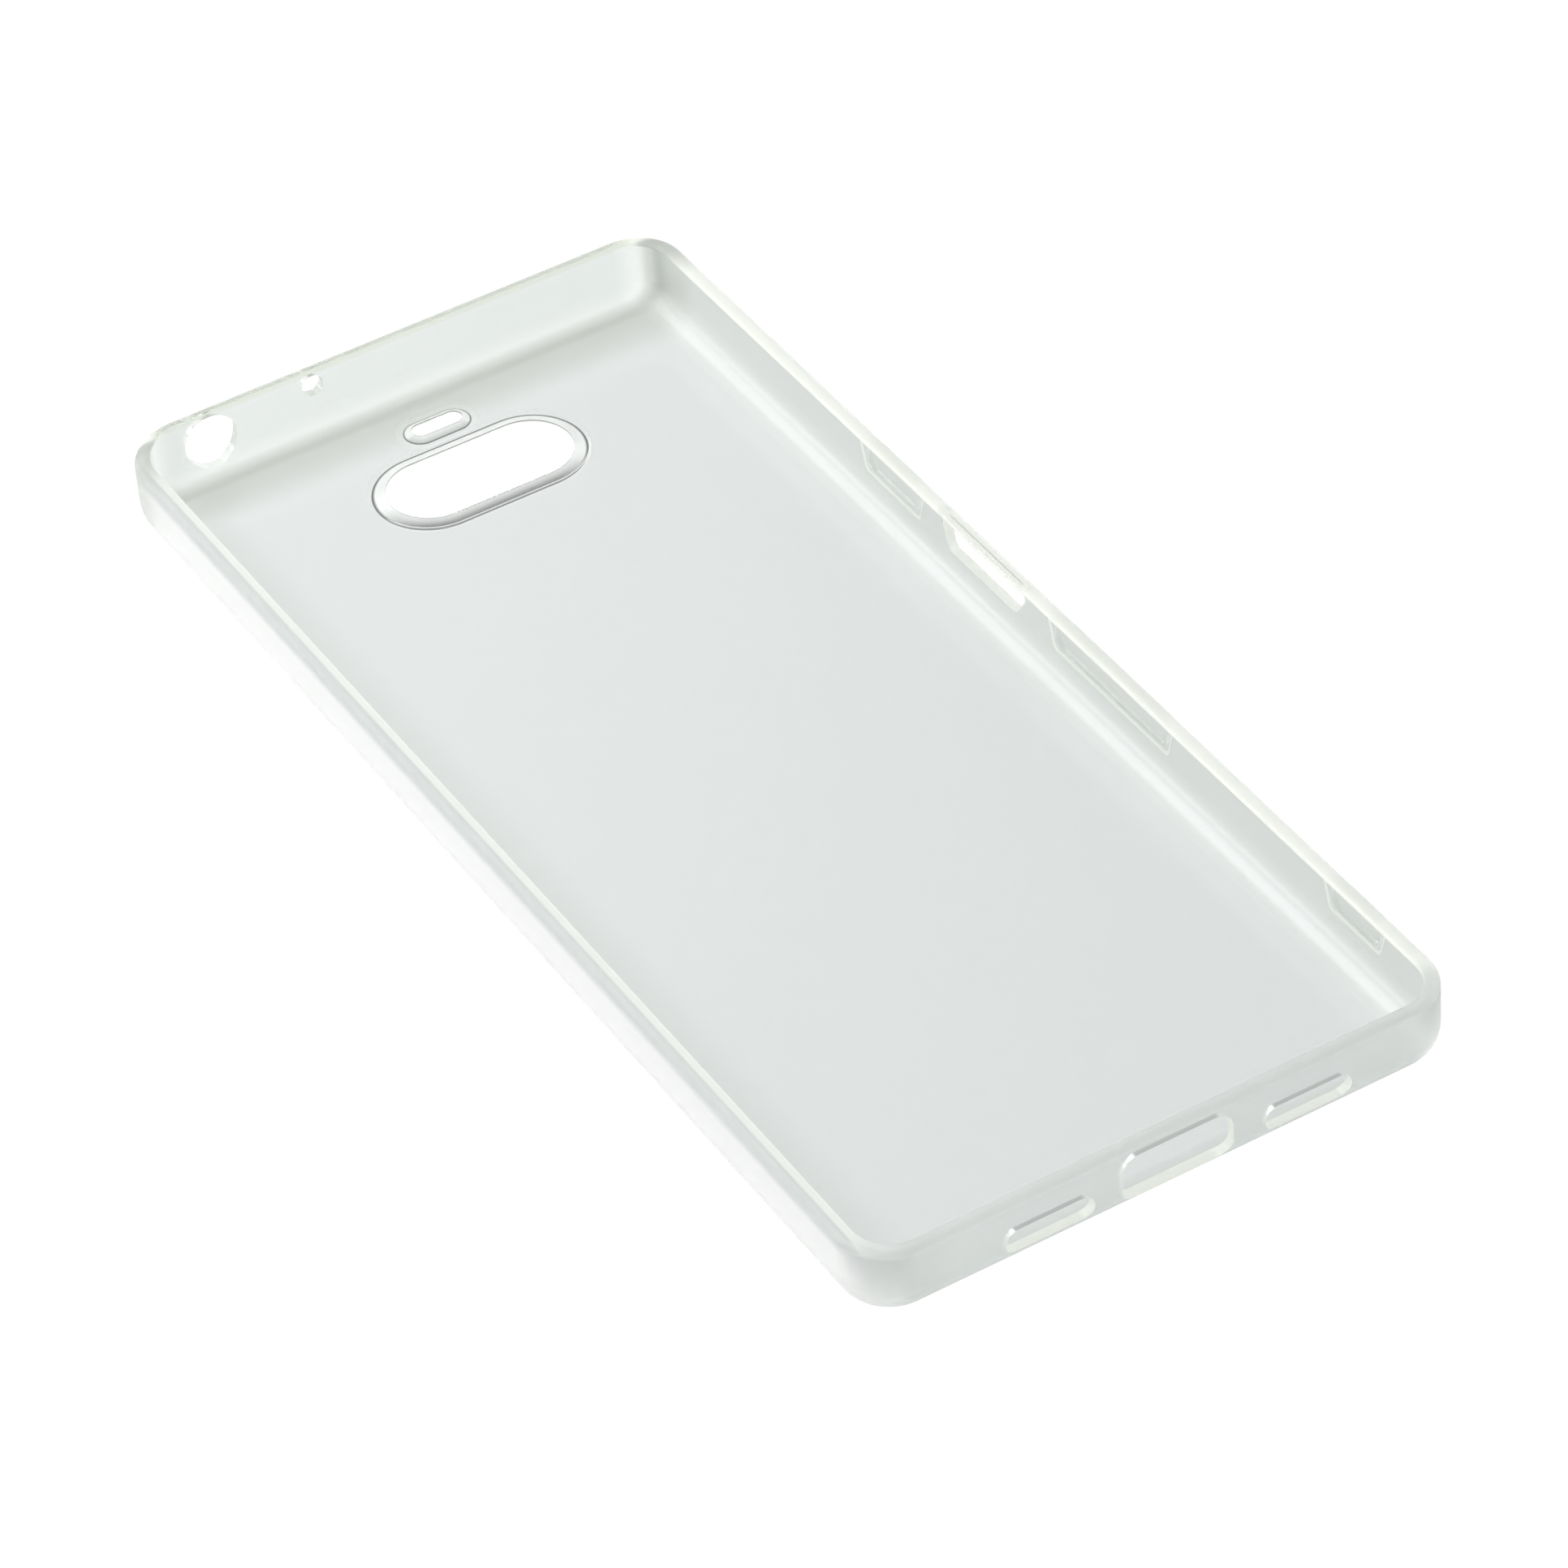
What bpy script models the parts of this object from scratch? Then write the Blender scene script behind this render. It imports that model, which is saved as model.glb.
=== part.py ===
"""Slim clear gel case for a tall phone, open side up.

Row frame: metres, origin at the centre of the outer back face, +Z towards the open
side, +Y towards the camera end, +X towards the wall with the buttons.

The real case is one soft moulding. It is built here as the shell and the three button
covers, because each cover bends inwards on the thin skin round it when it is pressed.
"""

import math

import bmesh
import bpy

MM = 0.001

# Shell, in millimetres.
WIDTH = 70.4
LENGTH = 160.4
HEIGHT = 9.6
BACK = 1.0
WALL = 1.1
CORNER_R = 6.0
OUTER_EDGE_R = 4.2
RIM_R = 0.9
LIP_THICK = 0.8
LIP_SIDE = 1.9
LIP_END = 1.3
LIP_ROUND = 0.25
CORNER_STEPS = 8
EDGE_STEPS = 5

# Camera and flash openings in the back: centre, size at the inner face, and how far
# the edge flares out towards the outer face.
CAMERA_AT = (1.0, 61.9)
CAMERA_SIZE = (22.9, 10.7)
CAMERA_FLARE = 1.6
FLASH_AT = (1.1, 72.1)
FLASH_SIZE = (6.3, 2.3)
FLASH_FLARE = 1.0
FLARE_START = 0.75

# Camera-end wall: headphone jack and microphone, as x, z and radius.
JACK = (-23.6, 5.4, 3.3)
MICROPHONE = (-10.4, 7.2, 1.35)

# Connector-end wall: middle x, middle z, width, height and corner radius.
PLUG_OPENING = (0.7, 4.9, 13.2, 6.2, 2.2)
LEFT_GRILLE = (-14.3, 4.1, 10.4, 3.1, 1.5)
RIGHT_GRILLE = (16.3, 4.1, 10.4, 3.1, 1.5)

# Button wall. Each cover is the middle y, middle z, length and height of its bar.
POWER_COVER = (26.8, 6.75, 10.4, 3.0)
VOLUME_COVER = (-17.0, 6.75, 21.2, 3.0)
SHUTTER_COVER = (-62.4, 6.9, 8.2, 2.7)
COVER_GAP = 0.3
COVER_INSIDE = 0.55
COVER_OUTSIDE = 0.65
COVER_EDGE_R = 0.4

# Side sensor opening: y of its corners at the bottom and at the top, and its z limits.
SENSOR_BOTTOM_Y = (1.6, 15.2)
SENSOR_TOP_Y = (-1.4, 16.6)
SENSOR_Z = (4.2, 8.45)
SENSOR_CORNER_R = 1.1

CLEAR_COLOUR = (0.83, 0.87, 0.84, 1.0)
COVER_COLOUR = (0.80, 0.85, 0.80, 1.0)


def clear_scene():
    """Remove whatever objects the new file starts with."""
    for obj in list(bpy.data.objects):
        bpy.data.objects.remove(obj, do_unlink=True)


def gel_material(name, colour, roughness):
    """Soft clear plastic."""
    material = bpy.data.materials.new(name)
    material.use_nodes = True
    shader = material.node_tree.nodes["Principled BSDF"]
    shader.inputs["Base Color"].default_value = colour
    shader.inputs["Roughness"].default_value = roughness
    shader.inputs["Metallic"].default_value = 0.0
    return material


def rounded_loop(half_x, half_y, radius, steps, centre=(0.0, 0.0)):
    """Corners of a rounded rectangle, anticlockwise, as (x, y) in millimetres."""
    points = []
    for quarter in range(4):
        sign_x = 1 if quarter in (0, 3) else -1
        sign_y = 1 if quarter in (0, 1) else -1
        mid_x = centre[0] + sign_x * (half_x - radius)
        mid_y = centre[1] + sign_y * (half_y - radius)
        for step in range(steps + 1):
            angle = math.pi / 2 * (quarter + step / steps)
            points.append((mid_x + radius * math.cos(angle),
                           mid_y + radius * math.sin(angle)))
    return points


def mesh_object(name, mesh_data, material):
    """Turn a bmesh into a named object with outward faces."""
    bmesh.ops.recalc_face_normals(mesh_data, faces=mesh_data.faces)
    mesh = bpy.data.meshes.new(name)
    mesh_data.to_mesh(mesh)
    mesh_data.free()
    obj = bpy.data.objects.new(name, mesh)
    bpy.context.scene.collection.objects.link(obj)
    if material is not None:
        mesh.materials.append(material)
    return obj


def loft(name, loops, material=None):
    """Closed solid through loops of (x, y, z) points in millimetres, capped at both ends."""
    built = bmesh.new()
    rings = []
    for loop in loops:
        rings.append([built.verts.new([MM * value for value in point]) for point in loop])
    for lower, upper in zip(rings, rings[1:]):
        count = len(lower)
        for index in range(count):
            after = (index + 1) % count
            built.faces.new((lower[index], lower[after], upper[after], upper[index]))
    built.faces.new(list(reversed(rings[0])))
    built.faces.new(rings[-1])
    return mesh_object(name, built, material)


def shell_stations():
    """Cross-section of the wall from the outer back face over the rim to the inner face.

    Each entry is the inset on the long sides, the inset at the ends, the height and the
    corner radius.
    """
    stations = []
    for step in range(EDGE_STEPS + 1):
        angle = math.pi / 2 * step / EDGE_STEPS
        inset = OUTER_EDGE_R * (1 - math.sin(angle))
        height = OUTER_EDGE_R * (1 - math.cos(angle))
        stations.append((inset, inset, height, CORNER_R - inset))
    for step in range(4):
        angle = math.pi / 2 * step / 3
        inset = RIM_R * (1 - math.cos(angle))
        height = HEIGHT - RIM_R * (1 - math.sin(angle))
        stations.append((inset, inset, height, CORNER_R - inset))
    lip_r = CORNER_R - LIP_SIDE
    under = HEIGHT - LIP_THICK
    stations.append((LIP_SIDE - LIP_ROUND, LIP_END - LIP_ROUND / 2, HEIGHT, lip_r + LIP_ROUND))
    stations.append((LIP_SIDE, LIP_END, HEIGHT - LIP_ROUND, lip_r))
    stations.append((LIP_SIDE, LIP_END, under + LIP_ROUND, lip_r))
    stations.append((WALL, WALL, under, CORNER_R - WALL))
    fillet = OUTER_EDGE_R - WALL
    for step in range(EDGE_STEPS + 1):
        angle = math.pi / 2 * step / EDGE_STEPS
        inset = WALL + fillet * (1 - math.cos(angle))
        height = BACK + fillet * (1 - math.sin(angle))
        stations.append((inset, inset, height, CORNER_R - inset))
    return stations


def shell_body(material):
    """Tray with a curved outer edge and a lip that turns in over the phone's face."""
    loops = []
    for side_inset, end_inset, height, radius in shell_stations():
        outline = rounded_loop(WIDTH / 2 - side_inset, LENGTH / 2 - end_inset, radius,
                               CORNER_STEPS)
        loops.append([(x, y, height) for x, y in outline])
    return loft("case_shell", loops, material)


def back_cutter(name, centre, size, flare):
    """Pill-shaped hole through the back, flared towards the outer face."""
    slope = flare / FLARE_START
    loops = []
    for height, spread in ((-0.5, flare + 0.5 * slope), (FLARE_START, 0.0), (2.0, 0.0)):
        half_x = size[0] / 2 + spread
        half_y = size[1] / 2 + spread
        outline = rounded_loop(half_x, half_y, half_y - 0.01, CORNER_STEPS, centre)
        loops.append([(x, y, height) for x, y in outline])
    return loft(name, loops)


def round_cutter(name, hole, y_range):
    """Round hole along Y."""
    middle_x, middle_z, radius = hole
    sides = 32
    loops = []
    for y in y_range:
        loop = []
        for side in range(sides):
            angle = 2 * math.pi * side / sides
            loop.append((middle_x + radius * math.cos(angle), y,
                         middle_z + radius * math.sin(angle)))
        loops.append(loop)
    return loft(name, loops)


def end_wall_cutter(name, opening, y_range):
    """Rounded rectangular opening along Y."""
    middle_x, middle_z, width, height, radius = opening
    outline = rounded_loop(width / 2, height / 2, radius, 6, (middle_x, middle_z))
    return loft(name, [[(x, y, z) for x, z in outline] for y in y_range])


def bar_loop(cover, spread, x, steps=6):
    """Outline of a button bar in the plane of the button wall, as (x, y, z)."""
    middle_y, middle_z, length, height = cover
    half_z = height / 2 + spread
    outline = rounded_loop(length / 2 + spread, half_z, half_z - 0.02, steps,
                           (middle_y, middle_z))
    return [(x, y, z) for y, z in outline]


def window_cutter(name, cover):
    """Window in the button wall that leaves the gap round one cover."""
    inside = WIDTH / 2 - WALL - 0.5
    outside = WIDTH / 2 + 1.0
    return loft(name, [bar_loop(cover, COVER_GAP, inside), bar_loop(cover, COVER_GAP, outside)])


def sensor_cutter(name):
    """Boat-shaped opening for the side sensor, under the lip."""
    corners = [(SENSOR_BOTTOM_Y[0], SENSOR_Z[0]), (SENSOR_BOTTOM_Y[1], SENSOR_Z[0]),
               (SENSOR_TOP_Y[1], SENSOR_Z[1]), (SENSOR_TOP_Y[0], SENSOR_Z[1])]
    outline = []
    for index, corner in enumerate(corners):
        outline += rounded_corner(corners[index - 1], corner,
                                  corners[(index + 1) % 4], SENSOR_CORNER_R)
    inside = WIDTH / 2 - WALL - 0.6
    outside = WIDTH / 2 + 1.0
    return loft(name, [[(x, y, z) for y, z in outline] for x in (inside, outside)])


def rounded_corner(before, corner, after, radius, steps=4):
    """Points of an arc that rounds one corner of a polygon."""
    towards = []
    for other in (before, after):
        run = math.dist(corner, other)
        towards.append(((other[0] - corner[0]) / run, (other[1] - corner[1]) / run))
    cosine = towards[0][0] * towards[1][0] + towards[0][1] * towards[1][1]
    half = math.acos(cosine) / 2
    reach = radius / math.tan(half)
    mid = (towards[0][0] + towards[1][0], towards[0][1] + towards[1][1])
    scale = radius / math.sin(half) / math.hypot(*mid)
    centre = (corner[0] + mid[0] * scale, corner[1] + mid[1] * scale)
    ends = [math.atan2(corner[1] + way[1] * reach - centre[1],
                       corner[0] + way[0] * reach - centre[0]) for way in towards]
    turn = (ends[1] - ends[0] + math.pi) % (2 * math.pi) - math.pi
    arc = []
    for step in range(steps + 1):
        angle = ends[0] + turn * step / steps
        arc.append((centre[0] + radius * math.cos(angle),
                    centre[1] + radius * math.sin(angle)))
    return arc


def cut(target, cutter):
    """Take a helper solid out of the target."""
    cutter.hide_render = True
    cutter.display_type = "WIRE"
    modifier = target.modifiers.new(cutter.name, "BOOLEAN")
    modifier.operation = "DIFFERENCE"
    modifier.solver = "EXACT"
    modifier.object = cutter


def button_cover(name, cover, material):
    """Raised bar with a rounded outer edge, hollowed on the inside, origin at its middle."""
    inner_x = WIDTH / 2 - WALL + COVER_INSIDE
    outer_x = WIDTH / 2 + COVER_OUTSIDE
    loops = [bar_loop(cover, 0.0, inner_x)]
    for step in range(4):
        angle = math.pi / 2 * step / 3
        spread = -COVER_EDGE_R * (1 - math.cos(angle))
        x = outer_x - COVER_EDGE_R * (1 - math.sin(angle))
        loops.append(bar_loop(cover, spread, x))
    pivot = (WIDTH / 2 - WALL / 2, cover[0], cover[1])
    moved = [[tuple(value - base for value, base in zip(point, pivot)) for point in loop]
             for loop in loops]
    obj = loft(name, moved, material)
    obj.location = [MM * value for value in pivot]
    return obj


def shade_round(obj):
    """Smooth the curved faces and keep the real edges crisp."""
    obj.data.shade_smooth()
    obj.data.set_sharp_from_angle(angle=math.radians(35))


def build():
    """Make the shell with its openings, then the three button covers."""
    clear_scene()
    gel = gel_material("clear_gel", CLEAR_COLOUR, 0.22)
    gel_cover = gel_material("clear_gel_cover", COVER_COLOUR, 0.3)
    half_length = LENGTH / 2
    far_end = (half_length - 4.0, half_length + 1.0)
    near_end = (-half_length - 1.0, -half_length + 5.0)

    shell = shell_body(gel)
    cutters = [
        back_cutter("camera_cutter", CAMERA_AT, CAMERA_SIZE, CAMERA_FLARE),
        back_cutter("flash_cutter", FLASH_AT, FLASH_SIZE, FLASH_FLARE),
        round_cutter("jack_cutter", JACK, far_end),
        round_cutter("microphone_cutter", MICROPHONE, far_end),
        end_wall_cutter("plug_cutter", PLUG_OPENING, near_end),
        end_wall_cutter("left_grille_cutter", LEFT_GRILLE, near_end),
        end_wall_cutter("right_grille_cutter", RIGHT_GRILLE, near_end),
        sensor_cutter("sensor_cutter"),
        window_cutter("power_window_cutter", POWER_COVER),
        window_cutter("volume_window_cutter", VOLUME_COVER),
        window_cutter("shutter_window_cutter", SHUTTER_COVER),
    ]
    for cutter in cutters:
        cut(shell, cutter)
    shade_round(shell)

    covers = [
        button_cover("power_button_cover", POWER_COVER, gel_cover),
        button_cover("volume_button_cover", VOLUME_COVER, gel_cover),
        button_cover("shutter_button_cover", SHUTTER_COVER, gel_cover),
    ]
    for cover in covers:
        shade_round(cover)


build()
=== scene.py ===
"""Looks of the slim clear gel phone case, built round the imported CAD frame.

Row frame: metres, origin at the centre of the outer back face, +Z towards the open side,
+Y towards the camera end, +X towards the wall with the buttons.
"""

import math

import bmesh
import bpy
from mathutils import Matrix, Vector


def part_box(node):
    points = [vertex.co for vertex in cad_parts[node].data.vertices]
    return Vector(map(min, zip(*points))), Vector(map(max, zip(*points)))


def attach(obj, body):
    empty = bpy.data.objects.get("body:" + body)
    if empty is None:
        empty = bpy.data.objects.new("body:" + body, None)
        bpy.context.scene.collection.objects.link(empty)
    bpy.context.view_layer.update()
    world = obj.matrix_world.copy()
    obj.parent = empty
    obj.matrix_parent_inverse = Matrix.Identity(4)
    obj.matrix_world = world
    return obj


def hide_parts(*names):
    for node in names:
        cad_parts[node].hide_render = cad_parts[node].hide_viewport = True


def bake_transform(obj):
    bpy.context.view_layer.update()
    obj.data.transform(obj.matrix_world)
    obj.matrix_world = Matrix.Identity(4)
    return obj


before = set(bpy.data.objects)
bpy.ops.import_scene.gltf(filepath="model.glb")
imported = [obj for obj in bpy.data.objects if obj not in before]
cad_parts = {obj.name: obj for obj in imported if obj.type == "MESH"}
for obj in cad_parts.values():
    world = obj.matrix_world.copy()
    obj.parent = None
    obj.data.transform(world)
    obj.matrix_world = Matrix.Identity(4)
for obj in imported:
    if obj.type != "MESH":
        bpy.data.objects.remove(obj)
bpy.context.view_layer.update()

MM = 0.001

# ---------------------------------------------------------------- sizes, in millimetres
shell_low, shell_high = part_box("case_shell")
WIDTH = (shell_high.x - shell_low.x) / MM
LENGTH = (shell_high.y - shell_low.y) / MM
HEIGHT = (shell_high.z - shell_low.z) / MM
BACK = 1.0
WALL = 1.1
CORNER_R = 6.0
FAR_LEFT_CORNER_R = 7.4
OUTER_EDGE_R = 4.2
RIM_R = 0.9
LIP_THICK = 0.62
LIP_SIDE = 1.9
LIP_END = 1.3
LIP_ROUND = 0.25

CAMERA_AT = (1.0, 61.9)
CAMERA_SIZE = (22.9, 10.7)
CAMERA_FLARE = 1.6
FLASH_AT = (1.1, 72.1)
FLASH_SIZE = (6.3, 2.3)
FLASH_FLARE = 1.0
FLARE_START = 0.75

JACK = (-23.6, 5.4, 3.3)
MICROPHONE = (-10.4, 7.2, 1.35)

PLUG_OPENING = (0.7, 4.9, 13.2, 6.2, 2.2)
LEFT_GRILLE = (-14.3, 4.1, 10.4, 3.1, 1.5)
RIGHT_GRILLE = (16.3, 4.1, 10.4, 3.1, 1.5)

SENSOR_BOTTOM_Y = (1.6, 15.2)
SENSOR_TOP_Y = (-1.4, 16.6)
SENSOR_Z = (4.2, 8.45)
SENSOR_CORNER_R = 1.1

COVER_GAP = 0.3
COVER_EDGE_R = 0.4
POCKET_DEPTH = 0.15
POCKET_SPREAD = 0.65
POCKET_RAKE = 1.2
POCKET_SLOPE = 0.3

SKIN = 0.18

CORNER_STEPS = 28
EDGE_STEPS = 20
RIM_STEPS = 10
ROUND_STEPS = 64

# ---------------------------------------------------------------- camera, from the photograph
VIEW_AZIMUTH = math.radians(-118.12)
VIEW_ELEVATION = math.radians(40.40)
VIEW_ROLL = math.radians(-4.83)
VIEW_TARGET = Vector((1.16, -3.69, 0.0)) * MM
VIEW_DISTANCE = 0.760
SENSOR_WIDTH = 36.0
LENS = 164.1

# Floor, in metres, and its paper colour under the case; beyond each side of it painted light (left)
# and painted shade (far, right, near).
FLOOR_SIDE = 6.0
FLOOR_DROP = 0.00005
FLOOR_COLOUR = (0.740, 0.753, 0.748)
FLOOR_LEFT_PAINTED_LIGHT = (0.93, 0.93, 0.93)
FLOOR_FAR_PAINTED_SHADE = (0.715, 0.745, 0.735)
FLOOR_RIGHT_PAINTED_SHADOW = (0.54, 0.56, 0.55)
FLOOR_NEAR_PAINTED_SHADOW = (0.60, 0.62, 0.61)

# Milkiness of each wall and of the rim over it, in the order left, right, near, far, and of
# the other parts of the tray: 0 is clear, 1 is cloudy.
WALL_MILK = (0.50, 0.42, 0.40, 0.37)
RIM_MILK = (0.60, 0.60, 0.66, 0.38)
PANEL_MILK = 0.34
NEAR_CORNER_MILK = 0.46
NEAR_FOOT_MILK = 0.85
FAR_CORNER_RIM_MILK = 0.8
LINE_MILK = 0.9

# Tone of the haze in the same order, and in the same parts. These tones are painted light and
# shade: each wall and stretch of rim is made lighter or darker, and the corners, feet and edges
# below get painted light, shade or reflection; the panel tone is its own.
WALL_HAZE_PAINTED_LIGHT = ((0.82, 0.82, 0.82), (0.68, 0.705, 0.695), (0.665, 0.69, 0.68),
             (0.74, 0.765, 0.75))
RIM_HAZE_PAINTED_LIGHT = ((0.79, 0.81, 0.775), (0.97, 0.98, 0.92), (0.69, 0.71, 0.70), (0.66, 0.69, 0.57))
PANEL_HAZE = (0.728, 0.742, 0.736)
NEAR_FOOT_PAINTED_SHADE = (0.62, 0.64, 0.63)
NEAR_CORNER_LOW_PAINTED_LIGHT = (0.80, 0.81, 0.80)
NEAR_CORNER_HIGH_PAINTED_SHADE = (0.56, 0.58, 0.57)
FAR_CORNER_PAINTED_LIGHT = (0.96, 0.98, 0.97)
FAR_CORNER_RIM_PAINTED_LIGHT = (0.96, 0.98, 0.90)
DARK_EDGE_PAINTED_REFLECTION = (0.52, 0.55, 0.54)
FOOT_PAINTED_SHADE = (0.58, 0.60, 0.57)
FILLET_PAINTED_SHADE = (0.46, 0.48, 0.45)
WHITE = (1.0, 1.0, 1.0)

PANEL_ROUGH = 0.12
WALL_ROUGH = 0.17
RIM_ROUGH = 0.06
DOT_SPACING = 0.42
RIB_SPACING = 0.45
BUMP_HEIGHT = 0.01 * MM

# Darker or brighter parts of the studio: azimuth from +X, elevation, inner and outer radius
# in degrees, and brightness.
STUDIO_PATCHES = (
    (-118.0, 15.0, 15.0, 60.0, 0.60),
    (62.0, 40.0, 14.0, 30.0, 0.08),
)


# ---------------------------------------------------------------- shapes
def rounded_loop(half_x, half_y, radius, steps, centre=(0.0, 0.0)):
    """Rounded rectangle, anticlockwise, as (x, y) in millimetres."""
    points = []
    for quarter in range(4):
        sign_x = 1 if quarter in (0, 3) else -1
        sign_y = 1 if quarter in (0, 1) else -1
        mid_x = centre[0] + sign_x * (half_x - radius)
        mid_y = centre[1] + sign_y * (half_y - radius)
        for step in range(steps + 1):
            angle = math.pi / 2 * (quarter + step / steps)
            points.append((mid_x + radius * math.cos(angle),
                           mid_y + radius * math.sin(angle)))
    return points


def tray_loop(side, end):
    """Outline of the tray, inset from the walls at its sides and ends, as (x, y)."""
    outline = []
    for quarter in range(4):
        radius = FAR_LEFT_CORNER_R if quarter == 1 else CORNER_R
        sign_x = 1 if quarter in (0, 3) else -1
        sign_y = 1 if quarter in (0, 1) else -1
        for step in range(CORNER_STEPS + 1):
            angle = math.pi / 2 * (quarter + step / CORNER_STEPS)
            outline.append((sign_x * (WIDTH / 2 - radius) + (radius - side) * math.cos(angle),
                            sign_y * (LENGTH / 2 - radius) + (radius - end) * math.sin(angle)))
    return outline


def polygon_with_round_corners(corners, radius, steps=8):
    """Outline through the corners, each one rounded, as (u, v)."""
    outline = []
    count = len(corners)
    for index, corner in enumerate(corners):
        before = Vector(corners[index - 1]) - Vector(corner)
        after = Vector(corners[(index + 1) % count]) - Vector(corner)
        before.normalize()
        after.normalize()
        half = math.acos(max(-1.0, min(1.0, before.dot(after)))) / 2
        reach = radius / math.tan(half)
        middle = (before + after).normalized()
        centre = Vector(corner) + middle * (radius / math.sin(half))
        start = Vector(corner) + before * reach - centre
        end = Vector(corner) + after * reach - centre
        first = math.atan2(start.y, start.x)
        turn = (math.atan2(end.y, end.x) - first + math.pi) % (2 * math.pi) - math.pi
        for step in range(steps + 1):
            angle = first + turn * step / steps
            outline.append((centre.x + radius * math.cos(angle),
                            centre.y + radius * math.sin(angle)))
    return outline


def new_object(name, built):
    """Named object from a bmesh, faces outward."""
    bmesh.ops.recalc_face_normals(built, faces=built.faces)
    mesh = bpy.data.meshes.new(name)
    built.to_mesh(mesh)
    built.free()
    obj = bpy.data.objects.new(name, mesh)
    bpy.context.scene.collection.objects.link(obj)
    return obj


def add_loft(built, loops):
    """Adds a closed solid through loops of (x, y, z) in millimetres."""
    rings = [[built.verts.new([MM * v for v in point]) for point in loop] for loop in loops]
    for lower, upper in zip(rings, rings[1:]):
        count = len(lower)
        for index in range(count):
            after = (index + 1) % count
            built.faces.new((lower[index], lower[after], upper[after], upper[index]))
    built.faces.new(list(reversed(rings[0])))
    built.faces.new(rings[-1])


def arc(centre, radius, start, end, steps):
    """Points (u, v) along an arc, angles in degrees."""
    points = []
    for step in range(steps + 1):
        angle = math.radians(start + (end - start) * step / steps)
        points.append((centre[0] + radius * math.cos(angle),
                       centre[1] + radius * math.sin(angle)))
    return points


def shell_stations():
    """Wall section as (side inset, end inset, height)."""
    stations = []
    for inset, height in arc((OUTER_EDGE_R, OUTER_EDGE_R), OUTER_EDGE_R, 270, 180, EDGE_STEPS):
        stations.append((inset, inset, height))
    for inset, height in arc((RIM_R, HEIGHT - RIM_R), RIM_R, 180, 90, RIM_STEPS):
        stations.append((inset, inset, height))
    under = HEIGHT - LIP_THICK
    for out, height in arc((-LIP_ROUND, HEIGHT - LIP_ROUND), LIP_ROUND, 90, 0, 5):
        stations.append((LIP_SIDE + out, LIP_END + out * 0.5, height))
    for out, height in arc((-LIP_ROUND, under + LIP_ROUND), LIP_ROUND, 0, -80, 4):
        stations.append((LIP_SIDE + out, LIP_END + out * 0.5, height))
    fillet = OUTER_EDGE_R - WALL
    stations.append((WALL, WALL, under - 0.05))
    for inset, height in arc((WALL + fillet, BACK + fillet), fillet, 180, 270, EDGE_STEPS):
        stations.append((inset, inset, height))
    return stations


def outer_shape(name):
    """The tray without its openings."""
    built = bmesh.new()
    loops = []
    for side, end, height in shell_stations():
        loops.append([(x, y, height) for x, y in tray_loop(side, end)])
    add_loft(built, loops)
    return new_object(name, built)


def add_back_opening(built, centre, size, flare):
    """Pill-shaped opening in the back, flared towards the outer face."""
    slope = flare / FLARE_START
    loops = []
    for height, spread in ((-0.5, flare + 0.5 * slope), (0.0, flare),
                           (FLARE_START * 0.5, flare * 0.5), (FLARE_START, 0.0), (2.0, 0.0)):
        half_x, half_y = size[0] / 2 + spread, size[1] / 2 + spread
        outline = rounded_loop(half_x, half_y, half_y - 0.01, CORNER_STEPS, centre)
        loops.append([(x, y, height) for x, y in outline])
    add_loft(built, loops)


def bar_loop(cover, spread, x, steps=14):
    """Outline of a button bar in the plane of the button wall."""
    middle_y, middle_z, length, height = cover
    half_z = height / 2 + spread
    outline = rounded_loop(length / 2 + spread, half_z, half_z - 0.02, steps,
                           (middle_y, middle_z))
    return [(x, y, z) for y, z in outline]


def cover_size(node):
    """(middle y, middle z, length, height), inner x and outer x of a CAD button cover."""
    low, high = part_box(node)
    bar = ((low.y + high.y) / 2 / MM, (low.z + high.z) / 2 / MM,
           (high.y - low.y) / MM, (high.z - low.z) / MM)
    return bar, low.x / MM, high.x / MM


def pocket_loop(cover, x, grow):
    """Raked shallow pocket round a button on the inner face of the wall."""
    middle_y, middle_z, length, height = cover
    low = middle_z - height / 2 - POCKET_SPREAD - grow
    high = HEIGHT - LIP_THICK - 0.1
    half_low = length / 2 + 0.2 + grow
    half_high = half_low + POCKET_RAKE
    corners = [(middle_y - half_low, low), (middle_y + half_low, low),
               (middle_y + half_high, high), (middle_y - half_high, high)]
    return [(x, y, z) for y, z in polygon_with_round_corners(corners, 0.9)]


def cut(target, built, name, material_index):
    """Takes the solids in the bmesh out of the target, for good; cut faces get the material."""
    cutter = new_object(name, built)
    for material in target.data.materials:
        cutter.data.materials.append(material)
    for face in cutter.data.polygons:
        face.material_index = material_index
    modifier = target.modifiers.new(name, "BOOLEAN")
    modifier.operation = "DIFFERENCE"
    modifier.solver = "EXACT"
    modifier.object = cutter
    graph = bpy.context.evaluated_depsgraph_get()
    mesh = bpy.data.meshes.new_from_object(target.evaluated_get(graph))
    target.modifiers.clear()
    target.data = mesh
    bpy.data.objects.remove(cutter)


def finish_normals(obj, angle=32.0):
    """Smooth curves, crisp real edges, flat faces kept truly flat."""
    obj.data.shade_smooth()
    obj.data.set_sharp_from_angle(angle=math.radians(angle))
    modifier = obj.modifiers.new("flat faces lead", "WEIGHTED_NORMAL")
    modifier.mode = "FACE_AREA"
    modifier.weight = 50
    modifier.keep_sharp = True
    graph = bpy.context.evaluated_depsgraph_get()
    mesh = bpy.data.meshes.new_from_object(obj.evaluated_get(graph))
    obj.modifiers.clear()
    obj.data = mesh


# Material slots of the tray while it is cut.
BODY, EDGE, RING, JOINT, POCKET = range(5)

COVERS = {
    "power": ("power_button_cover", "power_cover"),
    "volume": ("volume_button_cover", "volume_cover"),
    "shutter": ("shutter_button_cover", "shutter_cover"),
}


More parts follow.
